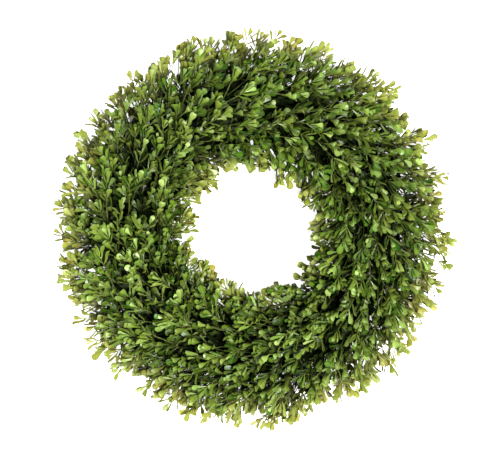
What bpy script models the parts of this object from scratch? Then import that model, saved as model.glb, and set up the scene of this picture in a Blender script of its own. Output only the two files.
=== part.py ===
"""A boxwood wreath: leafy bunches tied one behind another on a round frame of two wires.

The wreath lies on its back, with its front facing +Z. Every bunch points clockwise as seen from the front.
Sizes are in metres and angles in radians. A place in the foliage has three measures of its own: how far it lies
clockwise along the ring, how far it is turned round the ring's core from outwards over the front to inwards, and
how deep it lies, from 0 at the core to 1 at the leaf tips.
"""

import math
import random
from functools import partial

import bmesh
import bpy
from mathutils import Matrix, Quaternion, Vector
from mathutils.bvhtree import BVHTree

# The whole wreath
BUNCH_COUNT = 14
SECTOR = 2 * math.pi / BUNCH_COUNT
TIP_RADIUS = 0.2795
HOLE_RADIUS = 0.0770
TOP_HEIGHT = 0.1190
LOWEST_LEAF = 0.0020

# The foliage, measured from the core's circle to the leaf tips
CORE_CIRCLE = 0.1740
CORE_HEIGHT = 0.0320
REACH_OUT = 0.1000
REACH_IN = 0.0930
REACH_UP = 0.0820
REACH_DOWN = 0.0600
LEAN_OUT = 0.165
LEAN_UP = 0.640
LEAN_IN = 0.460

# The dense heart of a bunch, which the sprigs stand out of
HEART_DEPTH_OUTSIDE = 0.56
HEART_DEPTH_INSIDE = 0.63
HEART_UNEVEN = 0.03
HEART_START = math.radians(-17)
HEART_END = math.radians(197)
HEART_STEPS = 8
HEART_GAP = 0.0004

# A sprig's head: its pairs of leaves from the lowest up, each as its spread from the stem and the side it grows on
LOWER_SPREAD = math.radians(71)
UPPER_SPREAD = math.radians(36)
FAN = ((LOWER_SPREAD, (1, 0, 0)), (UPPER_SPREAD, (1, 0, 0)))
CROSSED = ((LOWER_SPREAD, (0, 1, 0)), (UPPER_SPREAD, (1, 0, 0)))
PAIR_SPACING = 0.0030
LEAF_LIFT = 0.28

# The sprigs. A row is (turn of the root, turn of the tip, places across the sector, size, the turn it faces, head)
SPRIG_ROWS = (
    (math.radians(-14), math.radians(-11), (0.24, 0.74), 0.96, math.radians(90), CROSSED),
    (math.radians(8), math.radians(22), (0.14, 0.62), 0.96, math.radians(50), CROSSED),
    (math.radians(38), math.radians(48), (0.28, 0.78), 0.98, math.radians(55), FAN),
    (math.radians(68), math.radians(76), (0.32,), 1.10, math.radians(85), FAN),
    (math.radians(94), math.radians(99), (0.66,), 1.08, math.radians(93), FAN),
    (math.radians(124), math.radians(128), (0.44,), 0.94, math.radians(110), FAN),
    (math.radians(156), math.radians(156), (0.62,), 0.74, math.radians(95), CROSSED),
    (math.radians(184), math.radians(180), (0.34,), 0.70, math.radians(90), CROSSED),
)
ROOT_DEPTH = 0.42
TURN_JITTER = math.radians(7)
ACROSS_JITTER = 0.09
TIP_DEPTH = (0.965, 1.055)
STEM_ROOT_RADIUS = 0.0020
STEM_TIP_RADIUS = 0.0016
SPIN_JITTER = math.radians(28)

# The single leaves that lie over what the sprigs leave bare of the heart
COVER_LEAVES = 5
COVER_SIZE = 1.15
COVER_STUB = 0.0030
COVER_PLACES = (0.09, 0.88)
COVER_TURNS = (math.radians(-14), math.radians(192))
COVER_ROOT_DEPTH = 0.46
COVER_TIP_DEPTH = 0.74
COVER_SWING = 0.09

# How a shape is chosen: the number drawn, and how a bend and a spot of the heart hidden weigh against a crossing
TRIES = 50
BEND_PER_CROSSING = 0.0015
CROSSINGS_PER_SPOT = 2.0
SPOT_START = math.radians(-14)
SPOT_END = math.radians(194)
SPOTS_ROUND = 26
SPOTS_ACROSS = 10

# One leaf: a narrow foot, a broad shoulder with a ridge along its middle, and a blunt tip
LEAF_LENGTH = 0.0380
LEAF_HALF_WIDTH = 0.0084
LEAF_HALF_TIP = 0.0048
LEAF_RIDGE = 0.0019
SHOULDER_SHARE = 0.64
LEAF_CLEARANCE = 0.0014

# The cut stems of a bunch, laid on the frame
STEMS_SIDES = 8
STEMS_HALF_WIDTH = 0.0140
STEMS_HALF_HEIGHT = 0.0050
STEMS_NECK_HALF_WIDTH = 0.0075
STEMS_CUT_END = -0.270
STEMS_BEND = -0.020
STEMS_TOP_END = 0.120
STEMS_TOP_HEIGHT = 0.0400

# The frame's two round wires and the short bars between them
RAIL_OFFSET = 0.0140
RAIL_WIRE_RADIUS = 0.0017
RAIL_SEGMENTS = 28
RAIL_SIDES = 6
BAR_COUNT = 7
BAR_RADIUS = 0.0015
BAR_SIDES = 6

# The wire that ties a bunch to the frame, two turns side by side
TIE_WIRE = 0.0013
TIE_TURNS = 2
TIE_PLACE = -0.145
GAP = 0.0003

SEED = 2207
FLAT_HALF = math.sin(math.pi / 3)
RAIL_HEIGHT = TIE_WIRE + GAP + RAIL_WIRE_RADIUS * FLAT_HALF
RAIL_TOP = RAIL_HEIGHT + RAIL_WIRE_RADIUS * FLAT_HALF
STEMS_HEIGHT = RAIL_TOP + GAP + STEMS_HALF_HEIGHT


def clear_scene():
    """Removes the startup scene's objects."""
    for old in list(bpy.data.objects):
        bpy.data.objects.remove(old, do_unlink=True)


def painted(name, colour, roughness, metallic=0.0):
    """A material with one colour and finish."""
    material = bpy.data.materials.new(name)
    material.use_nodes = True
    shader = material.node_tree.nodes["Principled BSDF"]
    shader.inputs["Base Color"].default_value = (*colour, 1.0)
    shader.inputs["Roughness"].default_value = roughness
    shader.inputs["Metallic"].default_value = metallic
    return material


def collection_named(name):
    """A new collection in the scene."""
    collection = bpy.data.collections.new(name)
    bpy.context.scene.collection.children.link(collection)
    return collection


def object_from(shape, name, collection, material):
    """Turns a bmesh into an object with one material. Its faces are split first, since many aren't flat."""
    bmesh.ops.triangulate(shape, faces=shape.faces)
    mesh = bpy.data.meshes.new(name)
    shape.to_mesh(mesh)
    shape.free()
    mesh.materials.append(material)
    made = bpy.data.objects.new(name, mesh)
    collection.objects.link(made)
    return made


def mixed(low, high, share):
    """The value that lies this share of the way from low to high."""
    return low + (high - low) * share


def reach(turn):
    """How far the leaf tips stand from the core, sideways and upwards, at this turn round it."""
    sideways = REACH_OUT if math.cos(turn) > 0 else REACH_IN
    upwards = REACH_UP if math.sin(turn) > 0 else REACH_DOWN
    return sideways, upwards


def lean(turn, depth):
    """How far a sprig has leant clockwise at this depth, as an angle about the wreath's axis."""
    side = LEAN_OUT if math.cos(turn) > 0 else LEAN_IN
    return depth * mixed(side, LEAN_UP, max(0.0, math.sin(turn)) ** 2)


def foliage_point(along, turn, depth):
    """The point of the foliage that lies this far clockwise of its bunch's start, at this turn and depth."""
    sideways, upwards = reach(turn)
    radius = CORE_CIRCLE + depth * sideways * math.cos(turn)
    angle = -along - lean(turn, depth)
    height = CORE_HEIGHT + depth * upwards * math.sin(turn)
    return Vector((radius * math.cos(angle), radius * math.sin(angle), height))


def share_of_ring(point):
    """How far clockwise of its bunch's start a point lies, once the lean at its place is taken off."""
    radius = point.xy.length
    sideways, upwards = reach(math.atan2(point.z - CORE_HEIGHT, radius - CORE_CIRCLE))
    across = (radius - CORE_CIRCLE) / sideways
    up = (point.z - CORE_HEIGHT) / upwards
    return -math.atan2(point.y, point.x) - lean(math.atan2(up, across), math.hypot(across, up))


def step_into(values, low, high):
    """The one shift that brings all these values between low and high."""
    return max(0.0, low - min(values)) - max(0.0, max(values) - high)


def bend_clear(section):
    """Shifts one section of a leaf, all of a piece, to where it is clear of the hole, the ground and the next bunch.

    It returns how far the section went.
    """
    before = section[0].co.copy()
    out = step_into([corner.co.xy.length for corner in section], HOLE_RADIUS, TIP_RADIUS)
    up = step_into([corner.co.z for corner in section], LOWEST_LEAF, TOP_HEIGHT)
    for corner in section:
        corner.co += Vector((*(corner.co.xy.normalized() * out), up))
    margin = LEAF_CLEARANCE / min(corner.co.xy.length for corner in section)
    shift = step_into([share_of_ring(corner.co) for corner in section], margin, SECTOR - margin)
    for corner in section:
        corner.co.rotate(Quaternion((0, 0, 1), -shift))
    return (section[0].co - before).length


def grow_leaf(shape, face, grown):
    """Extrudes one leaf out of a face, and returns its sections: three corners at the shoulder, two at the tip."""
    foot = face.calc_center_median()
    side = grown.cross(Vector((0, 1, 0))).normalized()
    upper = side.cross(grown)
    off_foot = [corner.co - foot for corner in face.verts]
    sections = []
    for share, half_width, ridge_half_width, ridge in (
        (SHOULDER_SHARE, LEAF_HALF_WIDTH, 0, LEAF_RIDGE),
        (1, LEAF_HALF_TIP, LEAF_HALF_TIP, 0),
    ):
        face = bmesh.ops.extrude_discrete_faces(shape, faces=[face])["faces"][0]
        for corner, off in zip(face.verts, off_foot):
            on_ridge = off.dot(upper) > 0
            across = math.copysign(ridge_half_width if on_ridge else half_width, off.dot(side))
            over = ridge if on_ridge else 0
            corner.co = foot + grown * (LEAF_LENGTH * share) + side * across + upper * over
        sections.append(face.verts[:])
    return sections


def leaf_direction(sideways, spread):
    """Which way a leaf grows at this angle from its stem. A leaf of the fan is also lifted towards the front."""
    lift = Vector((0, LEAF_LIFT * abs(sideways.x), 0))
    return ((sideways + lift) * math.sin(spread) + Vector((0, 0, math.cos(spread)))).normalized()


def sprig_shape(length, leaf_size, head):
    """A four-sided stem along +Z with a leaf at its end below which its pairs stand, this long from root to tip."""
    shape = bmesh.new()
    stem = length / leaf_size - LEAF_LENGTH - len(head) * PAIR_SPACING
    bmesh.ops.create_cone(
        shape,
        cap_ends=True,
        segments=4,
        radius1=STEM_ROOT_RADIUS / leaf_size,
        radius2=STEM_TIP_RADIUS,
        depth=stem,
        matrix=Matrix.Translation((0, 0, stem / 2)) @ Matrix.Rotation(math.pi / 4, 4, "Z"),
    )
    end = max(shape.faces, key=lambda face: face.calc_center_median().z)
    feet = []
    for spread, across in head:
        end = bmesh.ops.extrude_discrete_faces(shape, faces=[end])["faces"][0]
        bmesh.ops.translate(shape, verts=end.verts, vec=(0, 0, PAIR_SPACING))
        beside = [face for edge in end.edges for face in edge.link_faces if face != end]
        for sideways in (Vector(across), -Vector(across)):
            foot = max(beside, key=lambda face: face.calc_center_median().dot(sideways))
            feet.append((foot, leaf_direction(sideways, spread)))
    feet.append((end, Vector((0, 0, 1))))
    sections = [section for foot, grown in feet for section in grow_leaf(shape, foot, grown)]
    bmesh.ops.scale(shape, vec=(leaf_size, leaf_size, leaf_size), verts=shape.verts)
    return shape, sections


def sprig(root, tip, facing, leaf_size, head, spin):
    """One sprig between these two points, with its front facing this way and then turned about its stem.

    It returns how far its leaves had to be bent clear as well.
    """
    axis = tip - root
    shape, sections = sprig_shape(axis.length, leaf_size, head)
    side = facing.cross(axis).normalized()
    front = axis.normalized().cross(side)
    turned = Matrix((side, front, axis.normalized())).transposed() @ Matrix.Rotation(spin, 3, "Z")
    bmesh.ops.transform(shape, verts=shape.verts, matrix=Matrix.Translation(root) @ turned.to_4x4())
    bend = max(bend_clear(section) for section in sections)
    bmesh.ops.remove_doubles(shape, verts=shape.verts, dist=1e-6)
    return shape, bend


def way_out(point, turn):
    """The direction that points out of the foliage at a point with this turn."""
    return Vector((*(point.xy.normalized() * math.cos(turn)), math.sin(turn)))


def random_sprig(draw, row, place):
    """A sprig of this row, with a random place and turn."""
    root_turn, tip_turn, _, leaf_size, facing_turn, head = row
    along = SECTOR * (place + draw.uniform(-ACROSS_JITTER, ACROSS_JITTER))
    jitter = draw.uniform(-TURN_JITTER, TURN_JITTER)
    root = foliage_point(along, root_turn + jitter, ROOT_DEPTH)
    tip = foliage_point(along, tip_turn + jitter, draw.uniform(*TIP_DEPTH))
    spin = draw.uniform(-SPIN_JITTER, SPIN_JITTER)
    return sprig(root, tip, way_out(tip, facing_turn), leaf_size, head, spin)


def random_cover_leaf(draw):
    """A single leaf at a random place, which grows out of the heart and lies over it, clockwise."""
    along = SECTOR * draw.uniform(*COVER_PLACES)
    turn = draw.uniform(*COVER_TURNS)
    root = foliage_point(along, turn, COVER_ROOT_DEPTH)
    aim = foliage_point(along + COVER_SWING, turn + draw.uniform(-TURN_JITTER, TURN_JITTER), COVER_TIP_DEPTH)
    tip = root + (aim - root).normalized() * (COVER_STUB + LEAF_LENGTH) * COVER_SIZE
    return sprig(root, tip, way_out(tip, turn), COVER_SIZE, (), draw.uniform(-SPIN_JITTER, SPIN_JITTER))


def heart_spots():
    """Points spread over the front of a heart, each with the direction that it is seen from."""
    spots = []
    for step in range(SPOTS_ROUND):
        share = (step + 0.5) / SPOTS_ROUND
        turn = mixed(SPOT_START, SPOT_END, share)
        depth = mixed(HEART_DEPTH_OUTSIDE, HEART_DEPTH_INSIDE, share) + HEART_UNEVEN
        for place in range(SPOTS_ACROSS):
            spot = foliage_point(SECTOR * (place + 0.5) / SPOTS_ACROSS, turn, depth)
            spots.append((spot, way_out(spot, turn)))
    return spots


def turned_spots(spots, angle):
    """The same spots, turned about the wreath's axis."""
    turn = Quaternion((0, 0, 1), angle)
    return [(turn @ spot, turn @ out) for spot, out in spots]


def left_bare(tree, spots):
    """The spots that this shape doesn't hide."""
    return [(spot, out) for spot, out in spots if tree.ray_cast(spot, out)[0] is None]


def best_of_tries(grow, neighbours, bare, bare_next):
    """Of a few random shapes, the one that is bent least, crosses least and hides most of the two hearts.

    The bunch leans over the next one, so it hides that one's heart too. Both lists of spots are shortened.
    """
    best_score, best_shape, best_tree = math.inf, None, None
    for _ in range(TRIES):
        shape, bend = grow()
        tree = BVHTree.FromBMesh(shape)
        crossings = sum(len(tree.overlap(other)) for other in [tree, *neighbours])
        seen = len(left_bare(tree, bare)) + len(left_bare(tree, bare_next))
        score = bend / BEND_PER_CROSSING + crossings + seen * CROSSINGS_PER_SPOT
        if score < best_score:
            shape, best_shape = best_shape, shape
            best_score, best_tree = score, tree
        if shape:
            shape.free()
    neighbours.append(best_tree)
    bare[:] = left_bare(best_tree, bare)
    bare_next[:] = left_bare(best_tree, bare_next)
    return best_shape


def heart_depths():
    """The heart's depth at each step round the core, for each border between two bunches."""
    draw = random.Random(SEED)
    even = [mixed(HEART_DEPTH_OUTSIDE, HEART_DEPTH_INSIDE, step / HEART_STEPS) for step in range(HEART_STEPS + 1)]
    return [[depth + draw.uniform(-HEART_UNEVEN, HEART_UNEVEN) for depth in even] for _ in range(BUNCH_COUNT)]


def heart_shape(number, depths):
    """The dense heart of a bunch: a block mapped onto its share of the ring, closed at the core's circle."""
    shape = bmesh.new()
    bmesh.ops.create_cube(shape, size=1)
    rungs = [edge for edge in shape.edges if abs(edge.verts[0].co.y - edge.verts[1].co.y) > 0.5]
    bmesh.ops.subdivide_edges(shape, edges=rungs, cuts=HEART_STEPS - 1, use_grid_fill=True)
    for corner in shape.verts:
        across, round_core, out = (value + 0.5 for value in corner.co)
        border = number + round(across)
        depth = out * depths[border % BUNCH_COUNT][round(round_core * HEART_STEPS)]
        turn = mixed(HEART_START, HEART_END, round_core)
        radius = CORE_CIRCLE + depth * reach(turn)[0] * math.cos(turn)
        gap = HEART_GAP / radius
        corner.co = foliage_point(mixed(gap, SECTOR - gap, across), turn, depth)
    bmesh.ops.remove_doubles(shape, verts=shape.verts, dist=1e-5)
    bmesh.ops.recalc_face_normals(shape, faces=shape.faces)
    return shape


def cut_stems_shape():
    """The bunch's cut stems: a flattened round bundle on the frame that bends up into the heart."""
    shape = bmesh.new()
    bmesh.ops.create_cone(shape, cap_ends=True, segments=STEMS_SIDES, radius1=1, radius2=1, depth=1)
    bmesh.ops.rotate(shape, verts=shape.verts, cent=(0, 0, 0), matrix=Matrix.Rotation(math.pi / STEMS_SIDES, 3, "Z"))
    everything = shape.verts[:] + shape.edges[:] + shape.faces[:]
    bmesh.ops.bisect_plane(shape, geom=everything, plane_co=(0, 0, 0), plane_no=(0, 0, 1))
    stations = (
        (STEMS_CUT_END, STEMS_HEIGHT, STEMS_HALF_WIDTH),
        (STEMS_BEND, STEMS_HEIGHT, STEMS_HALF_WIDTH),
        (STEMS_TOP_END, STEMS_TOP_HEIGHT, STEMS_NECK_HALF_WIDTH),
    )
    flat_side = math.cos(math.pi / STEMS_SIDES)
    for corner in shape.verts:
        along, height, half_width = stations[round(corner.co.z * 2) + 1]
        radius = CORE_CIRCLE + corner.co.x / flat_side * half_width
        rise = corner.co.y / flat_side * STEMS_HALF_HEIGHT
        corner.co = Vector((radius * math.cos(along), -radius * math.sin(along), height + rise))
    bmesh.ops.recalc_face_normals(shape, faces=shape.faces)
    return shape


def bunch_start(number):
    """The angle about the wreath's axis at which a bunch begins. The first begins at the top."""
    return math.pi / 2 - number * SECTOR


def join_all(target, collection):
    """Unites a collection of solids with the target, then removes them."""
    union = target.modifiers.new("Union", "BOOLEAN")
    union.operation = "UNION"
    union.operand_type = "COLLECTION"
    union.collection = collection
    union.solver = "EXACT"
    union.use_self = True
    bpy.context.view_layer.objects.active = target
    bpy.ops.object.modifier_apply(modifier=union.name)
    for joined in list(collection.objects):
        bpy.data.objects.remove(joined, do_unlink=True)
    bpy.data.collections.remove(collection)


def make_bunch(number, depths, bare, wreath, leaf_green):
    """One bunch of boxwood: its heart, its cut stems, its sprigs and its cover leaves, grown together.

    It takes the spots of its own heart that are still bare, and returns those of the next bunch's heart.
    """
    draw = random.Random(SEED + 31 * (number + 1))
    name = f"boxwood_bunch_{number + 1:02d}"
    bunch = object_from(heart_shape(number, depths), name, wreath, leaf_green)
    loose = collection_named(f"{name}_pieces")
    object_from(cut_stems_shape(), f"{name}_cut_stems", loose, leaf_green)
    grown = [partial(random_sprig, draw, row, place) for row in SPRIG_ROWS for place in row[2]]
    grown += [partial(random_cover_leaf, draw)] * COVER_LEAVES
    neighbours = []
    bare_next = turned_spots(heart_spots(), -SECTOR)
    for grow in grown:
        object_from(best_of_tries(grow, neighbours, bare, bare_next), f"{name}_sprig", loose, leaf_green)
    join_all(bunch, loose)
    bunch.rotation_euler = (0, 0, bunch_start(number))
    return turned_spots(bare_next, SECTOR)


def make_rails(wreath, wire):
    """The frame's two round wires."""
    for name, radius in (("outer", CORE_CIRCLE + RAIL_OFFSET), ("inner", CORE_CIRCLE - RAIL_OFFSET)):
        bpy.ops.mesh.primitive_torus_add(
            major_segments=RAIL_SEGMENTS,
            minor_segments=RAIL_SIDES,
            major_radius=radius,
            minor_radius=RAIL_WIRE_RADIUS,
            location=(0, 0, RAIL_HEIGHT),
            rotation=(0, 0, bunch_start(0) - TIE_PLACE),
        )
        rail = bpy.context.object
        rail.name = f"frame_{name}_rail"
        rail.data.materials.append(wire)
        settle(rail, wreath)


def settle(made, wreath):
    """Moves an object that an operator made into the wreath's collection."""
    for holder in list(made.users_collection):
        holder.objects.unlink(made)
    wreath.objects.link(made)


def make_bars(wreath, wire):
    """The short bars welded between the two round wires, each half way between two ties."""
    length = 2 * (RAIL_OFFSET - RAIL_WIRE_RADIUS - GAP)
    for number in range(BAR_COUNT):
        sectors = number * BUNCH_COUNT / BAR_COUNT + 0.5
        angle = bunch_start(0) - TIE_PLACE - sectors * SECTOR
        bpy.ops.mesh.primitive_cylinder_add(
            vertices=BAR_SIDES,
            radius=BAR_RADIUS,
            depth=length,
            location=(CORE_CIRCLE * math.cos(angle), CORE_CIRCLE * math.sin(angle), RAIL_HEIGHT),
            rotation=(0, math.pi / 2, angle),
        )
        bar = bpy.context.object
        bar.name = f"frame_bar_{number + 1}"
        bar.data.materials.append(wire)
        settle(bar, wreath)


def tie_outline(inset):
    """The six corners of a tie's loop, as (across the frame, up). The inset is 0 outside and the wire's width inside."""
    clear = TIE_WIRE + GAP - inset
    held = RAIL_OFFSET + RAIL_WIRE_RADIUS
    corner = math.tan(math.pi / STEMS_SIDES)
    shoulder = (held + clear, STEMS_HEIGHT + (STEMS_HALF_HEIGHT + clear) * corner)
    top = ((held + clear) * corner, STEMS_HEIGHT + STEMS_HALF_HEIGHT + clear)
    right = ((held + clear, inset), shoulder, top)
    return [*right, *((-across, up) for across, up in reversed(right))]


def make_tie(number, wreath, wire):
    """One wire tie: a flat closed loop that stands across the frame, round both rails and the cut stems."""
    name = f"bunch_tie_{number + 1:02d}"
    outline = bpy.data.curves.new(name, "CURVE")
    outline.dimensions = "2D"
    outline.fill_mode = "BOTH"
    outline.extrude = TIE_TURNS * TIE_WIRE / 2
    for inset in (0, TIE_WIRE):
        corners = tie_outline(inset)
        loop = outline.splines.new("POLY")
        loop.points.add(len(corners) - 1)
        loop.use_cyclic_u = True
        for point, (across, up) in zip(loop.points, corners):
            point.co = (across, up, 0, 1)
    outline.materials.append(wire)
    tie = bpy.data.objects.new(name, outline)
    angle = bunch_start(number) - TIE_PLACE
    tie.location = (CORE_CIRCLE * math.cos(angle), CORE_CIRCLE * math.sin(angle), 0)
    tie.rotation_euler = (math.pi / 2, 0, angle)
    wreath.objects.link(tie)


def hold_together(wreath):
    """Parents every piece to one empty at the wreath's origin."""
    holder = bpy.data.objects.new("boxwood_wreath", None)
    for piece in list(wreath.objects):
        piece.parent = holder
    wreath.objects.link(holder)


def main():
    """Builds the frame, ties the bunches on and holds them together."""
    clear_scene()
    wreath = collection_named("boxwood_wreath")
    leaf_green = painted("boxwood_leaf", (0.115, 0.205, 0.035), 0.45)
    rail_wire = painted("frame_wire", (0.030, 0.055, 0.030), 0.40, 0.6)
    tie_wire = painted("tie_wire", (0.045, 0.080, 0.040), 0.45, 0.5)
    make_rails(wreath, rail_wire)
    make_bars(wreath, rail_wire)
    depths = heart_depths()
    bare = heart_spots()
    for number in range(BUNCH_COUNT):
        bare = make_bunch(number, depths, bare, wreath, leaf_green)
        make_tie(number, wreath, tie_wire)
    hold_together(wreath)


main()
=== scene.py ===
"""Dresses the boxwood wreath: leafy twigs, cut stems, binding wire and the wire frame, in a pale studio.

The wreath lies on its back and its front faces +Z. Sizes are in metres and angles in radians. Every bunch of
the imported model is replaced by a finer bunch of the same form, with leaves at their real size.
"""

import logging
import math
import random
from collections.abc import Callable, Iterable, Iterator
from contextlib import contextmanager
from dataclasses import dataclass
from enum import Enum

import bmesh
import bpy
import numpy as np
from mathutils import Matrix, Quaternion, Vector, noise


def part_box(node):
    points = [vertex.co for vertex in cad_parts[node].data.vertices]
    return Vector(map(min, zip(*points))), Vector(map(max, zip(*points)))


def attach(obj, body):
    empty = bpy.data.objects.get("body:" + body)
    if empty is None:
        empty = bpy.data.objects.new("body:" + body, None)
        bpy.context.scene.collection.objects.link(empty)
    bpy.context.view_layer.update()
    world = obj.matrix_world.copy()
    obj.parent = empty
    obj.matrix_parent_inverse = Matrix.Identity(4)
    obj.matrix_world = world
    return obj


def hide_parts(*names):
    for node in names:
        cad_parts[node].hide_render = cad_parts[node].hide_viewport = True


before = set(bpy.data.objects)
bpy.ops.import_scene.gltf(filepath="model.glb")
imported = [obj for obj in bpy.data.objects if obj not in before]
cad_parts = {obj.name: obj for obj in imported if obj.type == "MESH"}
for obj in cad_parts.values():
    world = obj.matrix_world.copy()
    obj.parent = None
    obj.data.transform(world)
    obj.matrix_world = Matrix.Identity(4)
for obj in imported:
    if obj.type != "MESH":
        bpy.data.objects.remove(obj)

log = logging.getLogger("wreath")

Colour = tuple[float, float, float]
Span = tuple[float, float]
Socket = bpy.types.NodeSocket

BODY = "root"
UP = Vector((0.0, 0.0, 1.0))
FULL_TURN = 2 * math.pi
ROW_MATCH = 0.01
MIDDLE_MATCH = 1e-6
LEAF_MAP = "leaf"
TWIG_MODELS = 9
TWIG_SEED = 11
MOST_PAIRS = 3
BUNCH_SEED = 501


def only(piece: bpy.types.Object) -> None:
    """Selects one object alone and makes it the active one.

    Args:
        piece: The object.
    """
    bpy.ops.object.select_all(action="DESELECT")
    piece.select_set(True)
    bpy.context.view_layer.objects.active = piece


@contextmanager
def editing(piece: bpy.types.Object) -> Iterator[None]:
    """Edit mode on one piece alone, as long as the block lasts.

    Args:
        piece: The piece to edit.

    Returns:
        The block's context.
    """
    only(piece)
    bpy.ops.object.mode_set(mode="EDIT")
    yield
    bpy.ops.object.mode_set(mode="OBJECT")


def pick_points(piece: bpy.types.Object, wanted: Callable[[Vector], bool]) -> None:
    """Selects, in edit mode, only the points that lie where they are wanted.

    Args:
        piece: The object in edit mode.
        wanted: Says of a point's place whether it is selected.
    """
    bpy.ops.mesh.select_all(action="DESELECT")
    cage = bmesh.from_edit_mesh(piece.data)
    for point in cage.verts:
        point.select_set(wanted(point.co))
    cage.select_flush(True)
    bmesh.update_edit_mesh(piece.data)


def finish_modifier(piece: bpy.types.Object, kind: str, **settings: object) -> None:
    """Adds a modifier with these settings and applies it.

    Args:
        piece: The object that takes it.
        kind: The modifier's type.
        settings: Its settings by name.
    """
    only(piece)
    bpy.ops.object.modifier_add(type=kind)
    modifier = piece.modifiers[-1]
    for name, value in settings.items():
        setattr(modifier, name, value)
    bpy.ops.object.modifier_apply(modifier=modifier.name)


def joined(name: str, pieces: list[bpy.types.Object]) -> bpy.types.Object:
    """Joins objects into one.

    Args:
        name: The joined object's name.
        pieces: The objects, of which the first takes the others in.

    Returns:
        The joined object.
    """
    only(pieces[0])
    for piece in pieces[1:]:
        piece.select_set(True)
    if len(pieces) > 1:
        bpy.ops.object.join()
    pieces[0].name = name
    pieces[0].data.name = name
    return pieces[0]


def copied(source: bpy.types.Object, place: Matrix, name: str) -> bpy.types.Object:
    """Copies an object with a mesh of its own, moved to this place.

    Args:
        source: The object to copy.
        place: Where the copy goes.
        name: The copy's name.

    Returns:
        The copy, which sits at the origin with its place in its mesh.
    """
    mesh = source.data.copy()
    mesh.transform(place)
    copy = bpy.data.objects.new(name, mesh)
    bpy.context.scene.collection.objects.link(copy)
    return copy


def marked(mesh: bpy.types.Mesh, name: str, values: float | np.ndarray) -> None:
    """Stores one number for each face under this name.

    Args:
        mesh: The mesh to mark.
        name: The name that a material reads it by.
        values: One number for all faces, or one for each.
    """
    mark = mesh.attributes.get(name) or mesh.attributes.new(name, "FLOAT", "FACE")
    mark.data.foreach_set("value", np.full(len(mesh.polygons), values, np.float32))


def marks_of(mesh: bpy.types.Mesh, name: str) -> np.ndarray:
    """Reads the number that each face has under this name.

    Args:
        mesh: The marked mesh.
        name: The name of the mark.

    Returns:
        One number for each face.
    """
    values = np.zeros(len(mesh.polygons), np.float32)
    mesh.attributes[name].data.foreach_get("value", values)
    return values


def away(piece: bpy.types.Object) -> None:
    """Removes a model that has served its turn."""
    bpy.data.objects.remove(piece, do_unlink=True)


def eased(value: float, low: float, high: float) -> float:
    """How far a value lies from low to high, from 0 to 1 with soft ends."""
    share = min(1.0, max(0.0, (value - low) / (high - low)))
    return share * share * (3 - 2 * share)


def mixed(low: float, high: float, share: float) -> float:
    """The value that lies this share of the way from low to high."""
    return low + (high - low) * share


@dataclass(frozen=True)
class Shader:
    """A new material and short ways to add nodes to it."""

    material: bpy.types.Material

    @classmethod
    def named(cls, name: str) -> "Shader":
        """Starts a material with an empty node tree.

        Args:
            name: The material's name.

        Returns:
            The shader that builds it.
        """
        material = bpy.data.materials.new(name)
        material.use_nodes = True
        material.node_tree.nodes.clear()
        return cls(material)

    def node(self, kind: str, **settings: object) -> bpy.types.Node:
        """Adds a node.

        Args:
            kind: The node's type.
            settings: Its settings by name.

        Returns:
            The node.
        """
        made = self.material.node_tree.nodes.new(kind)
        for name, value in settings.items():
            setattr(made, name, value)
        return made

    def wire(self, source: Socket, target: Socket) -> None:
        """Links two sockets."""
        self.material.node_tree.links.new(source, target)

    def feed(self, value: float | Colour | Socket, socket: Socket) -> None:
        """Gives an input its value, or links it to another node.

        Args:
            value: A number, a colour or the output of another node.
            socket: The input.
        """
        if isinstance(value, Socket):
            self.wire(value, socket)
        elif isinstance(value, tuple):
            socket.default_value = (*value, 1.0)
        else:
            socket.default_value = value

    def mark(self, name: str) -> Socket:
        """The number that each face has under this name."""
        return self.node("ShaderNodeAttribute", attribute_name=name).outputs["Fac"]

    def sums(self, operation: str, *values: float | Socket, clamp: bool = False) -> Socket:
        """Works out one operation.

        Args:
            operation: The name of the operation.
            values: The numbers or sockets that it works on.
            clamp: Whether the result is kept from 0 to 1.

        Returns:
            The result.
        """
        made = self.node("ShaderNodeMath", operation=operation, use_clamp=clamp)
        for socket, value in zip(made.inputs, values):
            self.feed(value, socket)
        return made.outputs[0]

    def ramp(self, value: Socket, start: float, end: float) -> Socket:
        """How far a value lies from start to end, kept from 0 to 1."""
        slope = 1 / (end - start)
        return self.sums("MULTIPLY_ADD", value, slope, -start * slope, clamp=True)

    def between(self, share: Socket, low: float, high: float) -> Socket:
        """The value that lies this share of the way from low to high."""
        return self.sums("MULTIPLY_ADD", share, high - low, low)

    def noise(self, scale: float, detail: float = 2.0) -> Socket:
        """Noise over the piece's own coordinates.

        Args:
            scale: How fine it is.
            detail: How many finer layers it has.

        Returns:
            The noise, from 0 to 1.
        """
        place = self.node("ShaderNodeTexCoord").outputs["Object"]
        made = self.node("ShaderNodeTexNoise")
        made.inputs["Scale"].default_value = scale
        made.inputs["Detail"].default_value = detail
        self.wire(place, made.inputs["Vector"])
        return made.outputs["Fac"]

    def blend(self, share: float | Socket, first: Colour | Socket, second: Colour | Socket) -> Socket:
        """Mixes two colours.

        Args:
            share: The share of the second colour.
            first: The first colour.
            second: The second colour.

        Returns:
            The mixed colour.
        """
        made = self.node("ShaderNodeMix", data_type="RGBA")
        for place, value in ((0, share), (6, first), (7, second)):
            self.feed(value, made.inputs[place])
        return made.outputs[2]

    def bump(self, height: Socket, strength: float, distance: float) -> Socket:
        """Turns a height into a normal.

        Args:
            height: The height, from 0 to 1.
            strength: How strongly it shows.
            distance: The height in metres that 1 stands for.

        Returns:
            The normal.
        """
        made = self.node("ShaderNodeBump")
        made.inputs["Strength"].default_value = strength
        made.inputs["Distance"].default_value = distance
        self.wire(height, made.inputs["Height"])
        return made.outputs["Normal"]

    def surface(self, shader: bpy.types.Node) -> bpy.types.Material:
        """Ends the material with this shader."""
        self.wire(shader.outputs[0], self.node("ShaderNodeOutputMaterial").inputs["Surface"])
        return self.material


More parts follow.
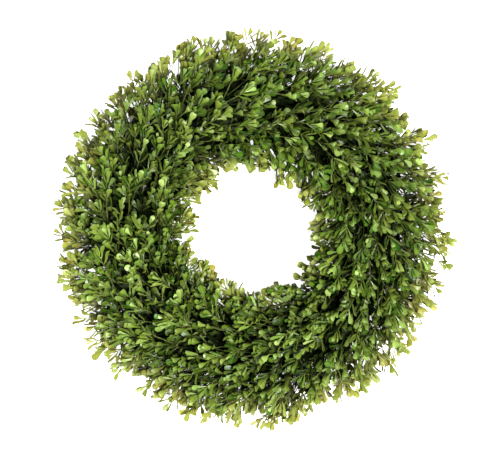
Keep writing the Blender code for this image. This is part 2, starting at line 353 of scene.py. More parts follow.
@dataclass(frozen=True)
class LeafFinish:
    """Waxy boxwood leaves: greens that vary from leaf to leaf, yellower at the edges from young growth and
    painted backlight glow, darker deep in the foliage with painted shade, with a pale midrib.
    """

    deep: Colour = (0.009, 0.030, 0.001)
    middle: Colour = (0.070, 0.134, 0.006)
    light: Colour = (0.330, 0.445, 0.115)
    cool: Colour = (0.050, 0.165, 0.020)
    young_and_backlit: Colour = (0.290, 0.268, 0.054)
    rusty: Colour = (0.260, 0.150, 0.012)
    rib: Colour = (0.260, 0.350, 0.050)
    underside: Colour = (0.130, 0.178, 0.024)
    patch_scale: float = 34.0
    patch_range: Span = (0.49, 0.69)
    cool_share: float = 0.28
    rusty_below: float = 0.222
    rusty_share: float = 0.50
    underside_share: float = 0.55
    rib_half_width: float = 0.0625
    rib_share: float = 0.40
    foot_range: Span = (0.225, -0.025)
    foot_share: float = 0.30
    mottle_scale: float = 420.0
    mottle: Span = (0.75, 1.25)
    inner_shade: float = 0.08
    hue: Span = (0.486, 0.514)
    roughness: float = 0.45
    gloss: Span = (0.08, 0.62)
    glow: float = 0.30
    glow_saturation: float = 1.02
    glow_value: float = 2.0
    vein_slant: float = 0.7
    vein_count: float = 75.0
    vein_depth: float = 0.03
    groove_half_width: float = 0.111
    relief: float = 0.35
    relief_height: float = 0.0004

    def material(self) -> bpy.types.Material:
        """Builds the material.

        Returns:
            The material.
        """
        shader = Shader.named("boxwood_leaf_green")
        tint = shader.mark("tint")
        split = shader.node("ShaderNodeSeparateXYZ")
        shader.wire(shader.node("ShaderNodeUVMap", uv_map=LEAF_MAP).outputs["UV"], split.inputs[0])
        from_rib = shader.sums("ABSOLUTE", shader.sums("SUBTRACT", split.outputs[0], 0.5))
        along = split.outputs[1]
        own = shader.node("ShaderNodeTexWhiteNoise", noise_dimensions="1D")
        shader.wire(tint, own.inputs["W"])
        mottle = shader.between(shader.noise(self.mottle_scale), *self.mottle)
        # Painted shade: leaves deep in the foliage are darkened by their outer mark.
        painted_depth_shade = shader.between(shader.mark("outer"), self.inner_shade, 1.0)
        shade = shader.node("ShaderNodeHueSaturation")
        shader.wire(self.green(shader, tint, from_rib, along), shade.inputs["Color"])
        shader.wire(shader.between(own.outputs["Value"], *self.hue), shade.inputs["Hue"])
        shader.wire(shader.sums("MULTIPLY", mottle, painted_depth_shade), shade.inputs["Value"])
        waxy = shader.node("ShaderNodeBsdfPrincipled")
        waxy.inputs["Roughness"].default_value = self.roughness
        shader.wire(shader.between(tint, *self.gloss), waxy.inputs["Specular IOR Level"])
        shader.wire(shade.outputs["Color"], waxy.inputs["Base Color"])
        shader.wire(self.veins(shader, from_rib, along), waxy.inputs["Normal"])
        lit = shader.node("ShaderNodeHueSaturation")
        lit.inputs["Saturation"].default_value = self.glow_saturation
        lit.inputs["Value"].default_value = self.glow_value
        shader.wire(shade.outputs["Color"], lit.inputs["Color"])
        through = shader.node("ShaderNodeBsdfTranslucent")
        shader.wire(lit.outputs["Color"], through.inputs["Color"])
        both = shader.node("ShaderNodeMixShader")
        both.inputs["Fac"].default_value = self.glow
        shader.wire(waxy.outputs[0], both.inputs[1])
        shader.wire(through.outputs[0], both.inputs[2])
        return shader.surface(both)

    def green(self, shader: Shader, tint: Socket, from_rib: Socket, along: Socket) -> Socket:
        """The colour of a leaf, before its shade and mottling.

        Args:
            shader: The material that is being built.
            tint: How light the leaf is, from 0 to 1.
            from_rib: How far a place lies from the midrib.
            along: How far it lies along the leaf.

        Returns:
            The colour.
        """
        green = shader.blend(shader.ramp(tint, 0.0, 0.5), self.deep, self.middle)
        green = shader.blend(shader.ramp(tint, 0.5, 1.0), green, self.light)
        patch = shader.ramp(shader.noise(self.patch_scale, 1.0), *self.patch_range)
        green = shader.blend(shader.sums("MULTIPLY", patch, self.cool_share), green, self.cool)
        rust = shader.sums("MULTIPLY", shader.ramp(tint, self.rusty_below, 0.0), self.rusty_share)
        # The edges turn yellow: partly young growth, partly painted backlight glow.
        green = shader.blend(shader.mark("youth_and_backlight"), green, shader.blend(rust, self.young_and_backlit, self.rusty))
        below = shader.sums("MULTIPLY", shader.mark("underside"), self.underside_share)
        green = shader.blend(below, green, self.underside)
        on_rib = shader.sums("MULTIPLY", shader.ramp(from_rib, self.rib_half_width, 0.0), self.rib_share)
        foot = shader.sums("MULTIPLY", shader.ramp(along, *self.foot_range), self.foot_share)
        return shader.blend(foot, shader.blend(on_rib, green, self.rib), self.rib)

    def veins(self, shader: Shader, from_rib: Socket, along: Socket) -> Socket:
        """Fine slanting veins and the groove of the midrib.

        Args:
            shader: The material that is being built.
            from_rib: How far a place lies from the midrib.
            along: How far it lies along the leaf.

        Returns:
            The normal.
        """
        slant = shader.sums("MULTIPLY_ADD", from_rib, -self.vein_slant, along)
        ripple = shader.sums("SINE", shader.sums("MULTIPLY", slant, self.vein_count))
        groove = shader.ramp(from_rib, 0.0, self.groove_half_width)
        height = shader.sums("MULTIPLY_ADD", ripple, self.vein_depth, groove)
        return shader.bump(height, self.relief, self.relief_height)


@dataclass(frozen=True)
class BarkFinish:
    """Twigs that are olive when young and brown when old, or the pale cut wood of their ends, darkened deep
    in the foliage with painted shade.
    """

    name: str
    dark: Colour
    pale: Colour
    # The colour of painted shade on bark deep in the foliage.
    deep: Colour = (0.002, 0.005, 0.001)
    grain: float = 260.0
    grain_detail: float = 4.0
    grain_range: Span = (0.292, 0.708)
    painted_shade_below: float = 0.714
    roughness: float = 0.6
    gloss: float = 0.3
    relief: float = 0.5
    relief_height: float = 0.0003

    def material(self) -> bpy.types.Material:
        """Builds the material.

        Returns:
            The material.
        """
        shader = Shader.named(self.name)
        grain = shader.noise(self.grain, self.grain_detail)
        colour = shader.blend(shader.ramp(grain, *self.grain_range), self.dark, self.pale)
        # Painted shade: bark is blended towards the deep colour by its outer mark.
        painted_shade = shader.ramp(shader.mark("outer"), self.painted_shade_below, 0.0)
        bark = shader.node("ShaderNodeBsdfPrincipled")
        bark.inputs["Roughness"].default_value = self.roughness
        bark.inputs["Specular IOR Level"].default_value = self.gloss
        shader.wire(shader.blend(painted_shade, colour, self.deep), bark.inputs["Base Color"])
        shader.wire(shader.bump(grain, self.relief, self.relief_height), bark.inputs["Normal"])
        return shader.surface(bark)


@dataclass(frozen=True)
class WireFinish:
    """Steel wire with green paint that is worn thin in places."""

    name: str
    paint: Colour
    worn: Colour = (0.16, 0.15, 0.13)
    wear_scale: float = 190.0
    wear_detail: float = 5.0
    wear_range: Span = (0.657, 0.8)
    roughness: Span = (0.38, 0.63)
    metallic: float = 0.35

    def material(self) -> bpy.types.Material:
        """Builds the material.

        Returns:
            The material.
        """
        shader = Shader.named(self.name)
        wear = shader.ramp(shader.noise(self.wear_scale, self.wear_detail), *self.wear_range)
        wire = shader.node("ShaderNodeBsdfPrincipled")
        wire.inputs["Metallic"].default_value = self.metallic
        shader.wire(shader.blend(wear, self.paint, self.worn), wire.inputs["Base Color"])
        shader.wire(shader.between(wear, *self.roughness), wire.inputs["Roughness"])
        return shader.surface(wire)


@dataclass(frozen=True)
class WreathForm:
    """The form of the foliage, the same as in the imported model.

    A place in it has three measures: how far clockwise of its bunch's start it lies, how far it is turned
    round the core, from outwards over the front to inwards, and how deep it lies, from 0 at the core to 1 at
    the leaf tips.
    """

    bunches: int = 14
    core_circle: float = 0.1740
    core_height: float = 0.0320
    reach_out: float = 0.1000
    reach_in: float = 0.0930
    reach_up: float = 0.0820
    reach_down: float = 0.0600
    lean_out: float = 0.165
    lean_up: float = 0.640
    lean_in: float = 0.460
    tie_place: float = -0.145

    @property
    def sector(self) -> float:
        """The angle that a bunch takes of the ring."""
        return FULL_TURN / self.bunches

    def start(self, number: int) -> float:
        """The angle about the wreath's axis at which a bunch begins."""
        return math.pi / 2 - number * self.sector

    def place(self, number: int) -> Matrix:
        """The turn that takes a bunch made at the angle 0 to where it is."""
        return Matrix.Rotation(self.start(number), 4, "Z")

    def lean(self, turn: float, depth: float) -> float:
        """How far a twig has leant clockwise at this depth."""
        side = self.lean_out if math.cos(turn) > 0 else self.lean_in
        return depth * mixed(side, self.lean_up, max(0.0, math.sin(turn)) ** 2)

    def point(self, along: float, turn: float, depth: float) -> Vector:
        """The point of the foliage at this place.

        Args:
            along: The angle clockwise from the bunch's start.
            turn: The turn round the core.
            depth: The depth, from 0 at the core to 1 at the leaf tips.

        Returns:
            The point, for a bunch that starts at the angle 0.
        """
        sideways = self.reach_out if math.cos(turn) > 0 else self.reach_in
        upwards = self.reach_up if math.sin(turn) > 0 else self.reach_down
        radius = self.core_circle + depth * sideways * math.cos(turn)
        angle = -along - self.lean(turn, depth)
        height = self.core_height + depth * upwards * math.sin(turn)
        return Vector((radius * math.cos(angle), radius * math.sin(angle), height))

    def on_frame(self, along: float, offset: float, height: float) -> Vector:
        """The point beside the core's circle at this angle, offset outwards and at this height."""
        radius = self.core_circle + offset
        return Vector((radius * math.cos(along), -radius * math.sin(along), height))


class LeafHabit(Enum):
    """How a leaf is held: the rise of its tip and the depth of its fold, as shares of its length."""

    OPEN = (0.05, 0.055)
    CUPPED = (0.16, 0.085)
    DROOPING = (-0.12, 0.065)
    FLAT = (-0.02, 0.045)


@dataclass(frozen=True)
class Leaf:
    """One boxwood leaf: a narrow foot, widest near its blunt, rounded tip, folded along its midrib.

    Each station has its share of the leaf's length and of its half width.
    """

    length: float = 0.0195
    half_width: float = 0.0041
    thickness: float = 0.00055
    tip_point: float = 0.0002
    stations: tuple[Span, ...] = (
        (0.0, 0.13),
        (0.30, 0.22),
        (0.52, 0.49),
        (0.71, 0.88),
        (0.86, 1.0),
        (0.96, 0.78),
        (1.0, 0.38),
    )
    smooth_below: float = math.radians(55)

    @property
    def rib_end(self) -> float:
        """The end of the midrib, at the last station but one."""
        return self.stations[-2][0] * self.length + MIDDLE_MATCH

    def build(self, habit: LeafHabit, finish: bpy.types.Material) -> bpy.types.Object:
        """Models a leaf with its foot at the origin, growing along +Y with its upper side to +Z.

        Args:
            habit: How the leaf is held.
            finish: Its material.

        Returns:
            The leaf.
        """
        rows = len(self.stations) - 1
        bpy.ops.mesh.primitive_grid_add(x_subdivisions=2, y_subdivisions=rows, size=1.0)
        leaf = bpy.context.object
        leaf.data.uv_layers.active.name = LEAF_MAP
        rise, fold = habit.value
        with editing(leaf):
            bpy.ops.mesh.select_all(action="SELECT")
            bpy.ops.transform.translate(value=(0, -1, 0))
            # The flat rows wait below the foot, so a row that is in its place isn't picked again.
            for row, (share, width) in enumerate(self.stations):
                flat = row / rows - 1.5
                pick_points(leaf, lambda co, flat=flat: abs(co.y - flat) < ROW_MATCH)
                wider = (width * 2 * self.half_width, 1, 1)
                bpy.ops.transform.resize(value=wider, center_override=(0, 0, 0))
                lift = rise * share**2 * self.length
                bpy.ops.transform.translate(value=(0, share * self.length - flat, lift))
            pick_points(leaf, lambda co: abs(co.x) < MIDDLE_MATCH and co.y > MIDDLE_MATCH)
            bpy.ops.transform.translate(value=(0, 0, -fold * self.length))
            pick_points(leaf, lambda co: abs(co.x) < MIDDLE_MATCH and co.y > self.rib_end)
            bpy.ops.transform.translate(value=(0, self.tip_point, 0))
        self.thicken(leaf)
        leaf.data.materials.append(finish)
        only(leaf)
        bpy.ops.object.shade_smooth_by_angle(angle=self.smooth_below)
        lower = np.array([float(face.normal.z < 0) for face in leaf.data.polygons])
        marked(leaf.data, "underside", lower)
        marked(leaf.data, "tint", 0.5)
        marked(leaf.data, "youth_and_backlight", 0.0)
        return leaf

    def thicken(self, leaf: bpy.types.Object) -> None:
        """Gives a leaf its thickness along the midrib, from which it thins out to its rim.

        Args:
            leaf: The leaf, still a single sheet.
        """
        rib = leaf.vertex_groups.new(name="rib")
        inner = [point.index for point in leaf.data.vertices if self.on_rib(point.co)]
        rib.add(inner, 1.0, "REPLACE")
        finish_modifier(
            leaf,
            "SOLIDIFY",
            thickness=self.thickness,
            offset=-1.0,
            use_rim=False,
            vertex_group=rib.name,
            thickness_vertex_group=0.0,
        )
        leaf.vertex_groups.clear()
        with editing(leaf):
            bpy.ops.mesh.select_all(action="SELECT")
            bpy.ops.mesh.remove_doubles(threshold=0.1 * self.thickness)

    def on_rib(self, place: Vector) -> bool:
        """Whether a point lies on the midrib, between the leaf's foot and its tip."""
        return abs(place.x) < MIDDLE_MATCH and MIDDLE_MATCH < place.y < self.rib_end


@dataclass(frozen=True)
class Stem:
    """A stem or wire, made by extruding a small disc from point to point."""

    points: list[Vector]
    radii: list[float]
    sides: int
    finish: bpy.types.Material
    smooth_below: float = math.radians(70)

    def build(self) -> bpy.types.Object:
        """Models the stem.

        Returns:
            The stem, closed at both ends.
        """
        bpy.ops.mesh.primitive_circle_add(
            vertices=self.sides, radius=self.radii[0], fill_type="NGON", location=(0, 0, 0)
        )
        made = bpy.context.object
        made.data.uv_layers.active.name = LEAF_MAP
        heading = (self.points[1] - self.points[0]).normalized()
        with editing(made):
            bpy.ops.mesh.select_all(action="SELECT")
            bpy.ops.transform.translate(value=self.points[0])
            self.turn_end(UP, heading, self.points[0])
            for step in range(1, len(self.points)):
                before, here = self.points[step - 1], self.points[step]
                after = self.points[min(step + 1, len(self.points) - 1)]
                bpy.ops.mesh.extrude_region_move(TRANSFORM_OT_translate={"value": here - before})
                following = (after - before).normalized()
                self.turn_end(heading, following, here)
                heading = following
                thinner = self.radii[step] / self.radii[step - 1]
                bpy.ops.transform.resize(value=(thinner,) * 3, center_override=here)
            bpy.ops.mesh.select_all(action="SELECT")
            bpy.ops.mesh.normals_make_consistent(inside=False)
        made.data.materials.append(self.finish)
        only(made)
        bpy.ops.object.shade_smooth_by_angle(angle=self.smooth_below)
        marked(made.data, "underside", 0.0)
        marked(made.data, "tint", 0.5)
        marked(made.data, "youth_and_backlight", 0.0)
        return made

    def turn_end(self, heading: Vector, wanted: Vector, centre: Vector) -> None:
        """Turns the selected end of the stem from one heading to another.

        Args:
            heading: Where the end faces.
            wanted: Where it is to face.
            centre: The middle of the end.
        """
        axis = heading.cross(wanted)
        if axis.length < MIDDLE_MATCH:
            return
        bpy.ops.transform.rotate(
            value=-heading.angle(wanted),
            orient_axis="Z",
            orient_matrix=axis.to_track_quat("Z", "Y").to_matrix(),
            center_override=centre,
        )


@dataclass
class Twig:
    """One leafy twig along +Z: a bent stem, a crown of leaves at its end and crossed pairs of leaves below.

    Each leaf of the crown has its angle to the stem and its size, as a share of the model's.
    """

    seed: int
    pairs: int
    length: float = 0.0660
    bend: float = 0.0100
    bend_range: Span = (0.3, 1.0)
    foot_radius: float = 0.00100
    tip_radius: float = 0.00050
    root: float = 0.0240
    steps: int = 4
    sides: int = 4
    crown: tuple[Span, ...] = ((0.14, 0.72), (0.26, 0.80), (0.46, 1.0), (0.52, 1.08))
    crown_height: float = 0.9
    crown_gap: float = 0.0015
    crown_spread_range: Span = (0.8, 1.2)
    crown_roll: float = 0.35
    pair_gap: float = 0.0105
    pair_spread: float = math.radians(36)
    pair_range: Span = (0.75, 1.25)
    pair_roll: float = 0.3
    pair_step: float = 0.001
    leaf_twist: float = 0.5
    leaf_sizes: Span = (0.80, 1.20)

    def build(self, leaves: list[bpy.types.Object], bark: bpy.types.Material) -> bpy.types.Object:
        """Models the twig.

        Args:
            leaves: The leaves to choose from.
            bark: The stem's material.

        Returns:
            The twig, with the tip of its crown at its length and a bare root below the origin.
        """
        draw = random.Random(self.seed)
        sideways = Quaternion(UP, draw.uniform(0, FULL_TURN))
        side = sideways @ Vector((self.bend * draw.uniform(*self.bend_range), 0, 0))
        top = self.length - self.crown_height * Leaf.length
        shares = [step / self.steps for step in range(self.steps + 1)]
        path = [self.bent(side, mixed(-self.root, top, share), top) for share in shares]
        radii = [mixed(self.foot_radius, self.tip_radius, share) for share in shares]
        parts = [Stem(path, radii, self.sides, bark).build()]
        roll = draw.uniform(0, FULL_TURN)
        for number, (spread, size) in enumerate(self.crown):
            around = roll + number // 2 * math.pi / 2 + number % 2 * math.pi
            around += draw.uniform(-self.crown_roll, self.crown_roll)
            foot = self.bent(side, top - self.crown_gap * number, top)
            spread *= draw.uniform(*self.crown_spread_range)
            parts.append(self.leaf_at(draw, leaves, foot, spread, around, size))
        height = top
        for _ in range(self.pairs):
            height -= self.pair_gap * draw.uniform(*self.pair_range)
            roll += math.pi / 2
            for half in range(2):
                around = roll + half * math.pi + draw.uniform(-self.pair_roll, self.pair_roll)
                spread = self.pair_spread * draw.uniform(*self.pair_range)
                foot = self.bent(side, height - self.pair_step * half, top)
                parts.append(self.leaf_at(draw, leaves, foot, spread, around, 1.0))
        return joined(f"twig_{self.seed}", parts)

    def bent(self, side: Vector, height: float, top: float) -> Vector:
        """The middle of the bent stem at this height."""
        return side * (max(0.0, height) / top) ** 2 + UP * height

    def leaf_at(
        self,
        draw: random.Random,
        leaves: list[bpy.types.Object],
        foot: Vector,
        spread: float,
        around: float,
        size: float,
    ) -> bpy.types.Object:
        """Sets a copy of one of the leaves on the stem, with its upper side towards the twig's end.

        Args:
            draw: The source of the random draws.
            leaves: The leaves to choose from.
            foot: Where the leaf grows from.
            spread: The angle between leaf and stem.
            around: The turn about the stem.
            size: The leaf's size, as a share of the model's.

        Returns:
            The leaf.
        """
        outwards = math.sin(spread)
        grown = Vector((outwards * math.cos(around), outwards * math.sin(around), math.cos(spread)))
        upper = (UP - grown * grown.dot(UP)).normalized()
        upper.rotate(Quaternion(grown, draw.uniform(-self.leaf_twist, self.leaf_twist)))
        axes = Matrix((grown.cross(upper), grown, upper)).transposed().to_4x4()
        scale = Matrix.Scale(size * draw.uniform(*self.leaf_sizes), 4)
        leaf = copied(draw.choice(leaves), Matrix.Translation(foot) @ axes @ scale, "leaf")
        marked(leaf.data, "tint", draw.uniform(0, 1))
        return leaf


@dataclass(frozen=True)
class TwigColour:
    """How twigs differ over the wreath: yellower at its two edges, partly young growth and partly painted
    backlight glow, and darker just inside them with painted shade.

    Its bands are radii and heights in the wreath, from where a change starts to where it is complete.
    """

    low_band: Span = (0.060, 0.095)
    outer_edge: Span = (0.212, 0.262)
    inner_edge: Span = (0.086, 0.102)
    inner_youth_and_backlight: float = 0.8
    youth_and_backlight_range: Span = (0.45, 1.0)
    youth_and_backlight_spread: float = 0.06
    inner_shadow: tuple[Span, Span] = ((0.092, 0.104), (0.118, 0.132))
    outer_shadow: tuple[Span, Span] = ((0.196, 0.212), (0.226, 0.248))
    shadow: float = 0.30
    tint_share: float = 0.90
    tint_shift: Span = (-0.10, 0.20)

    def mark(self, draw: random.Random, mesh: bpy.types.Mesh, tip: Vector) -> None:
        """Marks how young a twig is, which also paints backlight glow at the wreath's edges, and shifts its
        leaves' tints.

        Args:
            draw: The source of the random draws.
            mesh: The twig's mesh.
            tip: The place of its tip.
        """
        radius = tip.xy.length
        # Yellower at both edges of the wreath and only on low twigs: partly young growth, partly painted
        # backlight glow.
        inner = self.inner_youth_and_backlight * (1 - eased(radius, *self.inner_edge))
        edge = max(eased(radius, *self.outer_edge), inner) * (1 - eased(tip.z, *self.low_band))
        youth_and_backlight = edge * draw.uniform(*self.youth_and_backlight_range) + draw.gauss(0, self.youth_and_backlight_spread)
        marked(mesh, "youth_and_backlight", min(1.0, max(0.0, youth_and_backlight)))
        # Painted shade: leaves in the two bands just inside the edges get lower tints.
        bands = (self.inner_shadow, self.outer_shadow)
        shaded = sum(eased(radius, *start) - eased(radius, *end) for start, end in bands)
        tint = marks_of(mesh, "tint") * self.tint_share + draw.uniform(*self.tint_shift)
        marked(mesh, "tint", np.clip(tint, 0, 1) * (1 - self.shadow * shaded))


@dataclass(frozen=True)
class CutStems:
    """The cut stems of a bunch, which lie side by side on the frame and bend up into the foliage.

    Each row has its height and its number of stems. Their top and their cut end are angles clockwise of the
    bunch's start.
    """

    form: WreathForm
    wood: bpy.types.Material
    fresh_cut: bpy.types.Material
    rows: tuple[tuple[float, int], ...] = ((0.0068, 6), (0.0098, 7), (0.0128, 5))
    spacing: float = 0.0039
    stagger: float = 0.0005
    thicknesses: Span = (0.0012, 0.0020)
    taper: float = 0.7
    steps: int = 8
    sides: int = 7
    rise: float = 0.0300
    top: float = 0.21
    cut_end: float = -0.27
    cut_range: Span = (-0.01, 0.06)
    drift: float = 0.0022
    gather: float = 0.3

    def build(self, draw: random.Random) -> list[bpy.types.Object]:
        """Models the stems.

        Args:
            draw: The source of the random draws.

        Returns:
            The stems, each with pale wood on its cut end.
        """
        stems = []
        for height, count in self.rows:
            for number in range(count):
                offset = (number - (count - 1) / 2) * self.spacing + draw.uniform(-self.stagger, self.stagger)
                stems.append(self.stem(draw, offset, height))
        return stems

    def stem(self, draw: random.Random, offset: float, height: float) -> bpy.types.Object:
        """Models one stem.

        Args:
            draw: The source of the random draws.
            offset: How far outwards of the core's circle it lies at the tie.
            height: How high it lies there.

        Returns:
            The stem.
        """
        tie = self.form.tie_place
        radius = draw.uniform(*self.thicknesses)
        end = self.cut_end + draw.uniform(*self.cut_range)
        drift = draw.uniform(-self.drift, self.drift)
        path = []
        radii = []
        for step in range(self.steps + 1):
            at = mixed(end, self.top, step / self.steps)
            free = max(0.0, at - tie) / (self.top - tie)
            loose = max(0.0, tie - at) / (tie - self.cut_end)
            beside = offset * (1 - self.gather * free) + drift * loose
            path.append(self.form.on_frame(at, beside, height + self.rise * free**2))
            radii.append(radius * mixed(1.0, self.taper, step / self.steps))
        stem = Stem(path, radii, self.sides, self.wood).build()
        stem.data.materials.append(self.fresh_cut)
        for face in stem.data.polygons:
            if len(face.vertices) == self.sides:
                face.material_index = 1
        return stem


@dataclass(frozen=True)
class Layer:
    """One layer of twigs over the foliage: where it lies, how close they stand and how deep they reach."""

    turns: Span
    spacing: float
    depths: Span


@dataclass
class Bunch:
    """One bunch of boxwood: twigs all over its share of the form, its inner twigs and its cut stems.

    The twigs of a layer stand in bands, each somewhere in its own equal step of the band. The laid twigs lie
    flat at the back, at their offsets from the core's circle.
    """

    form: WreathForm
    number: int
    twigs: list[bpy.types.Object]
    stems: CutStems
    shade: bpy.types.Material
    colour: TwigColour = TwigColour()
    layers: tuple[Layer, ...] = (
        Layer((math.radians(-36), math.radians(26)), 0.0190, (0.76, 1.12)),
        Layer((math.radians(26), math.radians(146)), 0.0205, (0.84, 1.04)),
        Layer((math.radians(146), math.radians(216)), 0.0168, (0.82, 1.05)),
        Layer((math.radians(-50), math.radians(120)), 0.0290, (0.54, 0.72)),
        Layer((math.radians(120), math.radians(236)), 0.0240, (0.52, 0.70)),
    )
    arc_steps: int = 12
    arc_depth: float = 0.9
    stagger: Span = (0.05, 0.95)
    tip_bias: float = 0.8
    twig_sizes: Span = (0.84, 1.12)
    heading_depth: float = 0.5
    splay: float = 0.015
    swell: float = 0.10
    swell_scale: float = 24.0
    tilt: float = math.radians(9.1)
    turn_jitter: float = math.radians(5)
    deepest: float = 1.10
    floor: float = 0.0012
    ceiling: float = 0.1205
    laid_offsets: tuple[float, ...] = (-0.052, -0.040, -0.026, -0.010, 0.008, 0.024, 0.040)
    laid_count: int = 3
    laid_stagger: Span = (0.1, 0.9)
    laid_shift: float = 0.005
    laid_fan: float = 0.35
    laid_spread: float = 0.008
    laid_rise: Span = (-0.006, 0.004)
    laid_height: float = 0.0270
    laid_height_beside: float = 0.0180
    frame_half_width: float = 0.0330
    above_ties: float = 0.0166
    # Painted shade darkens faces deeper than dark_depth; the pieces at the back are marked no lower than
    # back_light, so they are darkened less.
    back_light: float = 0.60
    dark_depth: float = 0.52
    core_sides: int = 14
    core_out: float = 0.32
    core_up: float = 0.32
    core_in: float = 0.58
    core_down: float = 0.10
    core_range: Span = (0.82, 1.1)

    def build(self) -> None:
        """Models the bunch, sets it in its place and lets it stand for its node."""
        draw = random.Random(BUNCH_SEED + self.number)
        front = [self.core(draw)]
        for layer in self.layers:
            front += self.grown(draw, layer)
        back = [*self.stems.build(draw), *self.laid_twigs(draw)]
        for parts, least in ((front, 0.0), (back, self.back_light)):
            for part in parts:
                self.mark_depth(part.data, least)
                part.data.transform(self.form.place(self.number))
        name = f"boxwood_bunch_{self.number + 1:02d}"
        bunch = joined(f"{name}_foliage", front + back)
        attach(bunch, BODY)
        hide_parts(name)
        bunch.data.calc_loop_triangles()
        log.info("%s: %d triangles", bunch.name, len(bunch.data.loop_triangles))

    def grown(self, draw: random.Random, layer: Layer) -> list[bpy.types.Object]:
        """Sets the twigs of one layer in the foliage.

        Args:
            draw: The source of the random draws.
            layer: The layer.

        Returns:
            The twigs.
        """
        low, high = layer.turns
        turns = [mixed(low, high, step / self.arc_steps) for step in range(self.arc_steps + 1)]
        arc = [self.form.point(0, turn, self.arc_depth) for turn in turns]
        around = sum((there - here).length for here, there in zip(arc, arc[1:]))
        bands = max(1, round(around / layer.spacing))
        twigs = []
        for band in range(bands):
            turn = mixed(low, high, (band + 0.5) / bands)
            across = self.form.point(0, turn, self.arc_depth).xy.length * self.form.sector
            count = round(across / layer.spacing)
            for step in range(count):
                share = (step + draw.uniform(*self.stagger)) / count
                twigs.append(self.twig(draw, share, turn, layer.depths))
        return twigs

    def twig(self, draw: random.Random, share: float, turn: float, depths: Span) -> bpy.types.Object:
        """Sets one twig in the foliage.

        Args:
            draw: The source of the random draws.
            share: How far across the bunch's share of the ring it stands.
            turn: Its turn round the core.
            depths: The least and the greatest depth of its tip.

        Returns:
            The twig.
        """
        turn += draw.uniform(-self.turn_jitter, self.turn_jitter)
        along = share * self.form.sector
        spot = self.form.place(self.number) @ self.form.point(along, turn, 1) * self.swell_scale
        swell = self.swell * noise.noise(spot)
        depth = min(self.deepest, mixed(*depths, draw.random() ** self.tip_bias) + swell)
        tip = self.form.point(along, turn, depth)
        heading = tip - self.form.point(along, turn, depth - self.heading_depth)
        heading += tip.xy.to_3d().normalized() * self.splay * max(0.0, math.sin(turn))
        heading.normalize()
        heading.rotate(Quaternion(heading.orthogonal(), draw.gauss(0, self.tilt)))
        heading.rotate(Quaternion(heading.orthogonal().cross(heading), draw.gauss(0, self.tilt)))
        twig = self.twig_at(draw, tip, heading)
        self.keep_level(twig.data, self.floor)
        self.colour.mark(draw, twig.data, tip)
        return twig

    def twig_at(self, draw: random.Random, tip: Vector, heading: Vector) -> bpy.types.Object:
        """Copies one of the twigs.

        Args:
            draw: The source of the random draws.
            tip: Where the copy has its tip.
            heading: Where it points.

        Returns:
            The copy.
        """
        size = draw.uniform(*self.twig_sizes)
        axes = heading.to_track_quat("Z", "Y").to_matrix().to_4x4()
        roll = Matrix.Rotation(draw.uniform(0, FULL_TURN), 4, "Z")
        foot = Matrix.Translation(tip - heading * Twig.length * size)
        return copied(draw.choice(self.twigs), foot @ axes @ roll @ Matrix.Scale(size, 4), "twig")

    def laid_twigs(self, draw: random.Random) -> list[bpy.types.Object]:
        """Sets the twigs that lie flat at the back, behind the frame and beside it.

        Args:
            draw: The source of the random draws.

        Returns:
            The twigs.
        """
        twigs = []
        for offset in self.laid_offsets:
            beside = abs(offset) > self.frame_half_width
            height = self.laid_height_beside if beside else self.laid_height
            for step in range(self.laid_count):
                along = (step + draw.uniform(*self.laid_stagger)) / self.laid_count * self.form.sector
                shift = offset + draw.uniform(-self.laid_shift, self.laid_shift)
                tip = self.form.on_frame(along, shift, height)
                behind = along - Twig.length / self.form.core_circle
                foot_shift = self.laid_fan * shift + draw.gauss(0, self.laid_spread)
                heading = tip - self.form.on_frame(behind, foot_shift, height)
                heading.z = draw.uniform(*self.laid_rise)
                twig = self.twig_at(draw, tip, heading.normalized())
                self.keep_level(twig.data, self.floor if beside else self.above_ties)
                self.colour.mark(draw, twig.data, tip)
                twigs.append(twig)
        return twigs

    def mark_depth(self, mesh: bpy.types.Mesh, least: float) -> None:
        """Marks how far out in the foliage each face lies, up to 1 near the tips, which the materials turn
        into painted shade deep inside.

        Args:
            mesh: The mesh to mark.
            least: The mark of the deepest faces.
        """
        middles = np.zeros(3 * len(mesh.polygons), np.float32)
        mesh.polygons.foreach_get("center", middles)
        across, along, height = middles.reshape(-1, 3).T
        out = np.hypot(across, along) - self.form.core_circle
        up = height - self.form.core_height
        out = out / np.where(out > 0, self.form.reach_out, self.form.reach_in)
        up = up / np.where(up > 0, self.form.reach_up, self.form.reach_down)
        depth = (np.hypot(out, up) - self.dark_depth) / (1 - self.dark_depth)
        marked(mesh, "outer", np.clip(depth, least, 1))

    def keep_level(self, mesh: bpy.types.Mesh, lowest: float) -> None:
        """Shifts a twig up to its lowest height or down from above the foliage.

        Args:
            mesh: The twig's mesh.
            lowest: The lowest height it may reach.
        """
        heights = [point.co.z for point in mesh.vertices]
        lift = max(0.0, lowest - min(heights)) - max(0.0, max(heights) - self.ceiling)
        mesh.transform(Matrix.Translation((0, 0, lift)))

    def core(self, draw: random.Random) -> bpy.types.Object:
        """Models the crowded inner twigs, as one rough body deep in the foliage, with near-black painted
        shade that shows through the gaps.

        Args:
            draw: The source of the random draws.

        Returns:
            The body.
        """
        bpy.ops.mesh.primitive_cylinder_add(
            vertices=self.core_sides, radius=1, depth=1, end_fill_type="TRIFAN"
        )
        core = bpy.context.object
        core.data.uv_layers.active.name = LEAF_MAP
        with editing(core):
            bpy.ops.mesh.select_all(action="SELECT")
            bpy.ops.mesh.bisect(plane_co=(0, 0, 0), plane_no=(0, 0, 1))
            bpy.ops.mesh.select_all(action="SELECT")
            bpy.ops.mesh.subdivide(number_cuts=1)
